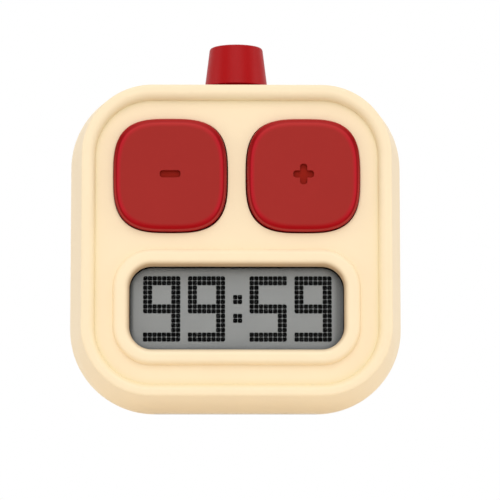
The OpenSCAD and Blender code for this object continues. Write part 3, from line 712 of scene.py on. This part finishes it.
def window_edge_shade():
    """Dark border on the panel, painted shade at the window's edge: a thin flat ring that follows the
    window's outline, lying low.
    """
    section = [(-BORDER_INSIDE, FACE_BACK), (-BORDER_INSIDE, DOT_FRONT), (BORDER_OUTSIDE, DOT_FRONT),
               (BORDER_OUTSIDE, FACE_BACK)]
    return window_rows(around(), np.array(section)) - np.array([0, 0, BORDER_DROP])


def display_dots(finish):
    """Dots of the digits as thin plates on the panel: a small square with round corners, from its middle
    over its edge to the panel, repeated at every dot's centre. Where a stroke turns, its outer corner is
    rounder. The dark border of painted shade goes with them."""
    angle = np.arange(DOT_COLUMNS) * 2 * math.pi / DOT_COLUMNS + math.pi / DOT_COLUMNS
    quarter = 1 + angle // (math.pi / 2)
    plain = rounded_box(angle, DOT_HALF, DOT_HALF, DOT_CORNER)
    rounder = rounded_box(angle, DOT_HALF, DOT_HALF, DOT_TURN)
    kinds = []
    for kind in range(len(QUARTERS) + 1):
        edge = np.where(quarter == kind, rounder, plain)
        rows = ((0, DOT_FRONT), (edge, DOT_FRONT), (edge, FACE_BACK))
        kinds.append(woven(loops((0, 0), angle, rows)))
    points = np.stack([points for points, _ in kinds])
    faces = kinds[0][1]
    dots = [digit_dots(form, left) for form, left in zip((NINE, NINE, FIVE, NINE), DIGIT_LEFT)]
    across, up, kind = np.concatenate(dots + [colon_dots()]).T
    move = tabled(across, 0, WINDOW_Z - DIGITS_DROP + up)
    all_points = points[kind.astype(int)] + move[:, None]
    all_faces = faces[None] + points.shape[1] * np.arange(len(move))[:, None, None]
    sheet = (all_points.reshape(-1, 3), all_faces.reshape(-1, 4))
    piece("digits_display", [sheet, woven(window_edge_shade())], finish, "case", "black_plastic")


# Finishes

class Wire:
    """An output socket of a finish. Sums, differences, products and powers of it add Math nodes."""

    def __init__(self, finish, socket):
        self.finish = finish
        self.socket = socket

    def join(self, operation, other=0.0):
        """Math node on this wire and another wire or a number."""
        return self.finish.add("Math", {0: self, 1: other}, operation=operation)

    def __add__(self, other):
        return self.join("ADD", other)

    def __sub__(self, other):
        return self.join("SUBTRACT", other)

    def __rsub__(self, other):
        return self.finish.add("Math", {0: other, 1: self}, operation="SUBTRACT")

    def __mul__(self, other):
        return self.join("MULTIPLY", other)

    def __pow__(self, power):
        return self.join("POWER", power)

    def __abs__(self):
        return self.join("ABSOLUTE")

    __radd__ = __add__
    __rmul__ = __mul__


class Finish:
    """A node tree that is filled node by node."""

    def __init__(self, owner):
        self.owner = owner
        owner.use_nodes = True
        self.tree = owner.node_tree
        self.tree.nodes.clear()

    def add(self, kind, sockets=None, out=0, **settings):
        """Adds a node of a kind: its settings first, then a value or a wire for each socket."""
        made = self.tree.nodes.new("ShaderNode" + kind)
        for name, value in settings.items():
            setattr(made, name, value)
        for name, value in (sockets or {}).items():
            if isinstance(value, Wire):
                self.tree.links.new(value.socket, made.inputs[name])
            else:
                made.inputs[name].default_value = value
        return Wire(self, made.outputs[out]) if len(made.outputs) else None

    def place(self):
        """Object coordinates."""
        return self.add("TexCoord", out="Object")

    def noise(self, size, detail=2.0, rough=0.5, place=None):
        """Noise with features of a size in millimetres."""
        return self.add("TexNoise", {
            "Vector": place or self.place(), "Scale": 1 / (size * MM), "Detail": detail, "Roughness": rough,
        })

    def stretched(self, scale):
        """Object coordinates scaled along each axis."""
        return self.add("Mapping", {"Vector": self.place(), "Scale": scale})

    def blend(self, share, first, second):
        """Mix of two colours."""
        return self.add("Mix", {0: share, 6: first, 7: second}, 2, data_type="RGBA")

    def mottled(self, share, colour, low, high):
        """A colour between its lower and its higher tone."""
        return self.blend(share, tone(colour, low), tone(colour, high))

    def bump(self, height, depth):
        """Normal over a height from 0 to 1 that stands for a depth in millimetres."""
        return self.add("Bump", {"Height": height, "Distance": depth * MM, "Strength": 1.0})

    def ramp(self, value, start, end):
        """Share that rises from 0 where a value is at its start to 1 at its end."""
        slope = 1 / (end - start)
        sockets = {0: value, 1: slope, 2: -start * slope}
        return self.add("Math", sockets, operation="MULTIPLY_ADD", use_clamp=True)

    def along(self, axis):
        """Object coordinate along an axis, in millimetres."""
        return self.add("SeparateXYZ", {"Vector": self.place()}, axis) * (1 / MM)

    def gap_to(self, half_w, half_h, corner, height, middle=0.0):
        """Distance in millimetres from a rectangle with round corners on the front, below zero inside it:
        the length of what is past its core, or the nearer side's distance in it, less the corner."""
        across = abs(self.along("X") - middle) - (half_w - corner)
        up = abs(self.along("Z") - height) - (half_h - corner)
        past_w = across.join("MAXIMUM")
        past_h = up.join("MAXIMUM")
        square = past_w * past_w + past_h * past_h
        nearer = across.join("MAXIMUM", up)
        return square.join("SQRT") + nearer.join("MINIMUM") - corner

    def surface(self, **sockets):
        """Principled shader on the output. A socket's name has _ for its spaces."""
        named = {name.replace("_", " "): value for name, value in sockets.items()}
        return self.end(self.add("BsdfPrincipled", named))

    def end(self, shader, kind="OutputMaterial"):
        self.add(kind, {"Surface": shader})
        return self.owner


def tone(colour, factor=1.0):
    """A colour with its opacity, made lighter or darker by a factor."""
    return tuple(min(1.0, part * factor) for part in colour) + (1.0,)


def spread(share, low, high):
    """Value between a low and a high one."""
    return low + share * (high - low)


def swing(noise, width):
    """Value that swings about zero with a noise, over a width."""
    return (noise - 0.5) * width


def new_finish(name):
    return Finish(bpy.data.materials.new(name))


# Colours, linear
CREAM = (0.985, 0.815, 0.575)
# Painted shade of the cream: along the groove at the rim's foot and at the window's edge
GROOVE_SHADE_CREAM = (0.9, 0.78, 0.52)
SILL_SHADE_CREAM = (0.58, 0.41, 0.245)
# The key's red, greyed by a painted sheen; after it the painted shade, light, highlight and reflection on
# the key
RED_FACE_AND_SHEEN = (0.357, 0.025, 0.0215)
RED_SIGN_SHADE = (0.305, 0.012, 0.005)
RED_RIDGE_LIT = (0.49, 0.012, 0.023)
RED_RIDGE_HIGHLIGHT = (0.49, 0.034, 0.033)
RED_RIDGE_SHADE = (0.36, 0.001, 0.004)
RED_SIDE_SHADE = (0.26, 0.001, 0.003)
RED_LINE_REFLECTION = (0.4, 0.04, 0.036)
RED_BUTTON = (0.385, 0.001, 0.003)
PANEL_GREY = (0.31, 0.313, 0.322)
INK = (0.0018, 0.0018, 0.002)
WHITE = (0.82, 0.82, 0.79)
BLACK = (0.02, 0.02, 0.022)
STRIP = (0.05, 0.05, 0.055)
BOARD = (0.015, 0.15, 0.06)
COPPER = (0.03, 0.23, 0.09)
STEEL = (0.56, 0.57, 0.59)
NICKEL = (0.66, 0.66, 0.65)
BRASS = (0.6, 0.38, 0.1)
LENS_GLINT = (0.9, 0.92, 0.92)
LENS_CLEAR = (0.97, 0.98, 0.98)
FLOOR = (0.84, 0.815, 0.78)
FLOOR_LIGHT = (1.0, 0.93, 0.83)


def plastic(name, colour, rough, gloss, shaded=None):
    """Moulded plastic: a fine spark-eroded grain, a faint cloud in the colour and patches of polish.
    Where it is shaded, a function takes its colour and roughness and gives both by place."""
    finish = new_finish(name)
    cloud = finish.noise(size=9.0, detail=3.0)
    grain = finish.noise(size=0.32, detail=3.0, rough=0.6)
    patch = finish.noise(size=2.4)
    base = finish.mottled(cloud, colour, low=0.97, high=1.03)
    rough = rough + swing(patch, width=0.12) + swing(grain, width=0.1)
    if shaded:
        base, rough = shaded(finish, base, rough)
    normal = finish.bump(grain + swing(patch, width=0.6), depth=0.006)
    return finish.surface(Base_Color=base, Roughness=rough, Specular_IOR_Level=gloss, Normal=normal)


# How far the painted shade spreads from the rim's foot and the window's edge, and how high the latter lies
GROOVE_SPREAD = 1.2
SILL_SPREAD = 0.95
SILL_RISE = 0.3


def cream_painted_shade(finish, base, rough):
    """Front shell's cream with painted shade, deeper towards the foot of the rim and the window's edge, by
    the square of the nearness. The shade at the window is centred a little high, so it reaches further at
    the top."""
    corner = CORNER_R - shrink(RIM_ROUND) - RIM_W
    low = CORNER_R + chin(RIM_ROUND) - shrink(RIM_ROUND)
    top = BODY_H - CORNER_R
    half_w = BODY_W / 2 - CORNER_R + corner
    half_h = (top - low) / 2 + corner
    # Painted shade along the groove at the rim's foot
    gap = finish.gap_to(half_w, half_h, corner, (top + low) / 2 - FACE_DROP)
    near = finish.ramp(abs(gap), GROOVE_SPREAD, 0.0)
    base = finish.blend(near * near, base, tone(GROOVE_SHADE_CREAM))
    # Painted shade at the window's edge, centred high so that it reaches further at the top
    gap = finish.gap_to(WINDOW_HALF_W, WINDOW_HALF_H, WINDOW_R, WINDOW_Z + SILL_RISE)
    near = finish.ramp(gap, SILL_SPREAD, 0.0)
    return finish.blend(near * near, base, tone(SILL_SHADE_CREAM)), rough


# Where a key's painted light on the ridge, painted shade on the side and painted reflection on the line
# begin and are full, in from its outline, and how low that is taken
RIDGE_EDGE = (1.3, 0.75)
SIDE_EDGE = (0.72, 0.48)
LINE_INNER = (0.44, 0.3)
LINE_OUTER = (0.12, 0.22)
EDGE_DROP = 0.1
# Heights from a key's middle where the ridge's painted shade at the foot, its painted highlight at the top
# and the line begin and are full
RIDGE_LOW = (-5.5, -8.3)
RIDGE_TOP = (5.5, 8.3)
LINE_LOW = (5.0, -3.0)
# Depths where the painted shade in a sign begins and is full, the share of the side's painted shade lost at
# the top and the face's added roughness
SIGN_SHADE = (0.1, 0.3)
SIDE_SHADE_LOSS = 0.5
FACE_MATT = 0.1


def key_painted_light(finish, base, rough):
    """Reds of a key, by the distance in from the superellipse of its outline, mostly painted light: rougher
    on the face, which a painted sheen greys; painted shade in the sign; a brighter, clearer and smoother
    red along the ridge of the rounded edge, with a painted highlight at the top and painted shade at the
    foot;
    painted shade down the side, less of it at the top; and a greyed line along the lower edge, a painted
    reflection of the cream face below."""
    # Painted shade in the sign's recess, by depth
    sign = finish.ramp(finish.along("Y"), *(y_at(KEY_TOP + depth) for depth in SIGN_SHADE))
    base = finish.blend(sign, base, tone(RED_SIGN_SHADE))
    # Painted light of the ridge: brighter than the face, with a painted highlight at the top and painted
    # shade at the foot
    level = finish.along("Z") - KEY_Z
    low = finish.ramp(level, *RIDGE_LOW)
    top = finish.ramp(level, *RIDGE_TOP)
    side = finish.blend(low, tone(RED_SIDE_SHADE), tone(RED_RIDGE_SHADE))
    ridge = finish.blend(low, tone(RED_RIDGE_LIT), tone(RED_RIDGE_SHADE))
    ridge = finish.blend(top, ridge, tone(RED_RIDGE_HIGHLIGHT))
    across = abs(abs(finish.along("X")) - KEY_X)
    up = abs(level + EDGE_DROP)
    inwards = KEY_HALF - (across ** KEY_POWER + up ** KEY_POWER) ** (1 / KEY_POWER)
    edge = finish.ramp(inwards, *RIDGE_EDGE)
    base = finish.blend(edge, base, ridge)
    # Painted shade down the side, less of it at the top
    base = finish.blend(finish.ramp(inwards, *SIDE_EDGE) * (1 - top * SIDE_SHADE_LOSS), base, side)
    # Greyed line along the lower edge: a painted reflection of the cream face below
    line = finish.ramp(inwards, *LINE_INNER) * finish.ramp(inwards, *LINE_OUTER)
    base = finish.blend(line * finish.ramp(level, *LINE_LOW), base, tone(RED_LINE_REFLECTION))
    return base, rough + (1 - edge) * FACE_MATT


def clear_plastic():
    """Clear lens: mostly open, with a polish that reflects more at a slant and a few smears."""
    finish = new_finish("clear_lens")
    smear = finish.noise(size=3.5, detail=3.0, rough=0.6, place=finish.stretched((1.0, 1.0, 0.35)))
    gloss = finish.add("BsdfPrincipled", {
        "Base Color": tone(LENS_GLINT), "Roughness": spread(smear, low=0.05, high=0.13), "Metallic": 1.0,
    })
    clear = finish.add("BsdfTransparent", {"Color": tone(LENS_CLEAR)})
    slant = finish.add("LayerWeight", {"Blend": 0.5}, "Facing")
    steep = slant * slant
    share = spread(steep * steep, low=0.002, high=0.302)
    return finish.end(finish.add("MixShader", {0: share, 1: clear, 2: gloss}))


# Painted shade at the panel's edges: how far it spreads, lies low and reaches in at the right
SHADE_SPREAD = 1.0
SHADE_DROP = 0.15
SHADE_SIDE = 0.12
# Where the painted shades at its left and right begin and are full, in from the window's sides
LEFT_SHADE = (0.7, 0.1)
RIGHT_SHADE = (1.7, 1.0)
# Shares of the dots' ruling and of the cloud in its colour
RULING_SHARE = 0.15
CLOUD_SHARE = 0.7


def panel_glass():
    """Grey display panel: the faint ruling of its dot fields and a soft cloud behind the glass. Painted
    shade darkens it towards the edges of the window, a little more at the top, hard at the left and softly
    at the right."""
    finish = new_finish("panel_grey")
    # A wave texture repeats at every pi / 10 of its scaled place
    sockets = {"Vector": finish.place(), "Scale": math.pi / 10 / (DOT_PITCH * MM)}
    bands = {"wave_type": "BANDS", "wave_profile": "TRI"}
    across, up = [finish.add("TexWave", sockets, 1, **bands, bands_direction=axis) for axis in "XZ"]
    cloud = finish.noise(size=7.0)
    share = (across + up) * RULING_SHARE + cloud * CLOUD_SHARE
    base = finish.mottled(share, PANEL_GREY, low=0.94, high=1.06)
    # Painted shade: a soft band at the right, more towards every edge of the window, and a hard strip at
    # the left
    along = finish.along("X")
    right = finish.ramp(along, *(WINDOW_HALF_W - inwards for inwards in RIGHT_SHADE))
    base = finish.blend(right, base, tone(PANEL_GREY, factor=0.6))
    half_w = WINDOW_HALF_W - SHADE_SIDE
    gap = finish.gap_to(half_w, WINDOW_HALF_H, WINDOW_R, WINDOW_Z - SHADE_DROP, -SHADE_SIDE)
    shade = finish.ramp(gap, -SHADE_SPREAD, 0.0)
    base = finish.blend(shade * shade, base, tone(PANEL_GREY, factor=0.42))
    left = finish.ramp(along, *(inwards - WINDOW_HALF_W for inwards in LEFT_SHADE))
    base = finish.blend(left, base, tone(PANEL_GREY, factor=0.22))
    rough = spread(cloud, low=0.36, high=0.46)
    return finish.surface(Base_Color=base, Roughness=rough, Specular_IOR_Level=0.3)


def layered_rubber():
    """Connector strip: thin conducting layers across its length in soft rubber."""
    finish = new_finish("strip_rubber")
    sockets = {"Vector": finish.place(), "Scale": 900.0, "Distortion": 0.6}
    layers = finish.add("TexWave", sockets, 1, wave_type="BANDS", bands_direction="X")
    base = finish.mottled(layers, STRIP, low=0.5, high=2.0)
    rough = spread(finish.noise(size=0.2), low=0.75, high=0.9)
    return finish.surface(Base_Color=base, Roughness=rough, Normal=finish.bump(layers, depth=0.01))


# Share of the tracks in the board's colour, the rest being its weave
TRACK_SHARE = 0.8


def circuit_board():
    """Solder mask over copper: blocks of track show lighter through the green, on a glass weave."""
    finish = new_finish("board")
    upright = {"Rotation": (math.pi / 2, 0, 0), "Scale": (90.0, 90.0, 90.0)}
    place = finish.add("Mapping", {"Vector": finish.place(), **upright})
    track = finish.add("TexBrick", {
        "Vector": place, "Scale": 1.0, "Mortar Size": 0.035, "Mortar Smooth": 0.2, "Brick Width": 0.45,
        "Row Height": 0.16,
    }, 1, offset=0.37, squash=0.6)
    weave = finish.noise(size=0.5)
    share = track * TRACK_SHARE + weave * (1 - TRACK_SHARE)
    base = finish.blend(share, tone(BOARD), tone(COPPER))
    rough = spread(weave, low=0.34, high=0.5)
    return finish.surface(Base_Color=base, Roughness=rough, Normal=finish.bump(share, depth=0.03))


def metal(name, colour, rough, scale):
    """Plated or rolled metal: scratches, drawn out by a scale along each axis, over patches of tarnish."""
    finish = new_finish(name)
    scratch = finish.noise(size=0.5, detail=4.0, rough=0.7, place=finish.stretched(scale))
    tarnish = finish.noise(size=1.8, detail=3.0)
    base = finish.mottled(tarnish, colour, low=0.82, high=1.08)
    rough = rough + swing(scratch, width=0.18) + swing(tarnish, width=0.1)
    normal = finish.bump(scratch, depth=0.006)
    return finish.surface(Base_Color=base, Metallic=1.0, Roughness=rough, Normal=normal)


def ink():
    """Switched-on display dots: near black with a trace of cloud."""
    finish = new_finish("display_ink")
    cloud = finish.noise(size=0.9)
    base = finish.mottled(cloud, INK, low=0.7, high=1.5)
    rough = spread(cloud, low=0.6, high=0.7)
    return finish.surface(Base_Color=base, Roughness=rough, Specular_IOR_Level=0.03)


# Studio

PHOTO_SIZE = 500
FLOOR_GLOW = 0.5
FLOOR_FULL = 120.0
FLOOR_GONE = 520.0
SKY_LEVEL = 0.52
SKY_TINT = (1.0, 0.97, 0.91)
LAMP_RANGE = 1.0
# Bearing from the front and height above level in degrees, power in watts and size in metres of each lamp
LAMPS = {
    "lamp_front": (0, 38, 4.9, 0.9),
    "fill_right": (80, 15, 1.4, 0.4),
    "fill_left": (-80, 15, 1.15, 0.4),
    "lamp_below": (0, -55, 0.5, 0.4),
    "lamp_behind": (180, 40, 1.6, 0.4),
}
CAMERA_PITCH = math.radians(5.6)
CAMERA_TURN = math.radians(0.7)
CAMERA_RANGE = 350.0
CAMERA_FOCUS = 2204.0
CAMERA_CLIP = (0.01, 20)
CENTRE_COLUMN = 236.9
CENTRE_ROW = 238.4
SENSOR = 36.0


def camera():
    """Camera on a line through the middle of the body's front, looking up by its pitch from below the
    floor and turned a little from the left. Its shift puts that middle on its column and row."""
    data = bpy.data.cameras.new("camera")
    data.sensor_width = SENSOR
    data.lens = CAMERA_FOCUS / PHOTO_SIZE * SENSOR
    data.shift_x = (PHOTO_SIZE / 2 - CENTRE_COLUMN) / PHOTO_SIZE
    data.shift_y = (CENTRE_ROW - PHOTO_SIZE / 2) / PHOTO_SIZE
    data.clip_start, data.clip_end = CAMERA_CLIP
    made = placed("camera", data)
    level = CAMERA_RANGE * math.cos(CAMERA_PITCH)
    left = level * math.sin(CAMERA_TURN)
    back = level * math.cos(CAMERA_TURN) + BODY_D / 2
    height = BODY_H / 2 - CAMERA_RANGE * math.sin(CAMERA_PITCH)
    made.location = (-left * MM, -back * MM, height * MM)
    made.rotation_euler = (math.pi / 2 + CAMERA_PITCH, 0, -CAMERA_TURN)
    bpy.context.scene.camera = made


def floor():
    """Pale light table with a faint cloud, lit softly from below too. It fades out into the white all
    round, and from below it is open, because the camera looks up from under its level."""
    finish = new_finish("studio_floor")
    cloud = finish.noise(size=40.0)
    pale = finish.add("BsdfDiffuse", {"Color": finish.mottled(cloud, FLOOR, low=0.99, high=1.01)})
    glow = finish.add("BsdfTranslucent", {"Color": tone(FLOOR_LIGHT)})
    table = finish.add("MixShader", {0: FLOOR_GLOW, 1: pale, 2: glow})
    below = finish.add("NewGeometry", out="Backfacing")
    away = finish.add("VectorMath", {"Vector": finish.place()}, "Value", operation="LENGTH") * (1 / MM)
    gone = below.join("MAXIMUM", finish.ramp(away, FLOOR_FULL, FLOOR_GONE))
    clear = finish.add("BsdfTransparent")
    finish.end(finish.add("MixShader", {0: gone, 1: table, 2: clear}))
    half = FLOOR_GONE * MM
    corners = [(-half, -half, 0), (half, -half, 0), (half, half, 0), (-half, half, 0)]
    mesh = bpy.data.meshes.new("floor")
    mesh.from_pydata(corners, [], [(0, 1, 2, 3)])
    mesh.materials.append(finish.owner)
    made = placed("floor", mesh)


def sky():
    """Warm light from all round, but plain white to the camera, in reflections and through the floor."""
    world = bpy.data.worlds.new("studio")
    bpy.context.scene.world = world
    finish = Finish(world)
    rays = ["Is " + kind + " Ray" for kind in ("Camera", "Glossy", "Transmission")]
    seen, mirrored, passed = [finish.add("LightPath", out=ray) for ray in rays]
    share = seen.join("MAXIMUM", mirrored).join("MAXIMUM", passed)
    soft = finish.add("Background", {"Color": tone(SKY_TINT), "Strength": SKY_LEVEL})
    white = finish.add("Background", {"Color": (1.0, 1.0, 1.0, 1.0), "Strength": 1.0})
    finish.end(finish.add("MixShader", {0: share, 1: soft, 2: white}), "OutputWorld")


def lamp(name, azimuth, elevation, power, size):
    """Square soft lamp at a bearing from the front and a height, turned to the body's middle."""
    data = bpy.data.lights.new(name, "AREA")
    data.shape = "SQUARE"
    data.size = size
    data.energy = power
    made = placed(name, data)
    turn = math.radians(azimuth)
    rise = math.radians(elevation)
    level = LAMP_RANGE * math.cos(rise)
    away = Vector((level * math.sin(turn), -level * math.cos(turn), LAMP_RANGE * math.sin(rise)))
    made.location = Vector((0, 0, BODY_H / 2 * MM)) + away
    made.rotation_euler = away.to_track_quat("Z", "Y").to_euler()


# Assembly

CREAM_LOOK = {"colour": CREAM, "rough": 0.5, "gloss": 0.35}

bpy.context.scene.view_settings.view_transform = "Standard"
camera()
floor()
sky()
for name, values in LAMPS.items():
    lamp(name, *values)

cream = plastic("cream_shell", **CREAM_LOOK)
red = plastic("red_key", RED_FACE_AND_SHEEN, rough=0.4, gloss=0.07, shaded=key_painted_light)
front_shell(plastic("cream_front", **CREAM_LOOK, shaded=cream_painted_shade))
rear_cover(cream)
battery_door(cream)
push_key("key_minus", -1, False, red, "minus", "minus_key")
push_key("key_plus", 1, True, red, "plus", "plus_key")
top_button(plastic("red_button", RED_BUTTON, rough=0.4, gloss=0.14))
display_lens(clear_plastic())
display_dots(ink())

# Finishes of the nodes that keep their own shape
CARRIED = (
    (panel_glass(), ("lcd_panel",)),
    (layered_rubber(), ("zebra_strips",)),
    (circuit_board(), ("main_board",)),
    (metal("cell_can", NICKEL, rough=0.24, scale=(1.0, 1.0, 6.0)), ("coin_cell",)),
    (plastic("white_plastic", WHITE, rough=0.5, gloss=0.5), (
        "lcd_frame", "minus_plunger", "plus_plunger", "start_plunger")),
    (plastic("black_plastic", BLACK, rough=0.45, gloss=0.5), (
        "minus_switch", "plus_switch", "start_switch", "controller_blob", "chip_parts", "buzzer")),
    (metal("steel", STEEL, rough=0.34, scale=(6.0, 1.0, 1.0)), (
        "board_screws", "clock_crystal", "magnets", "case_screws")),
    (metal("brass", BRASS, rough=0.32, scale=(1.0, 5.0, 1.0)), ("cell_clip", "cell_spring")),
)
for finish, nodes in CARRIED:
    for node in nodes:
        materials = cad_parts[node].data.materials
        materials.clear()
        materials.append(finish)
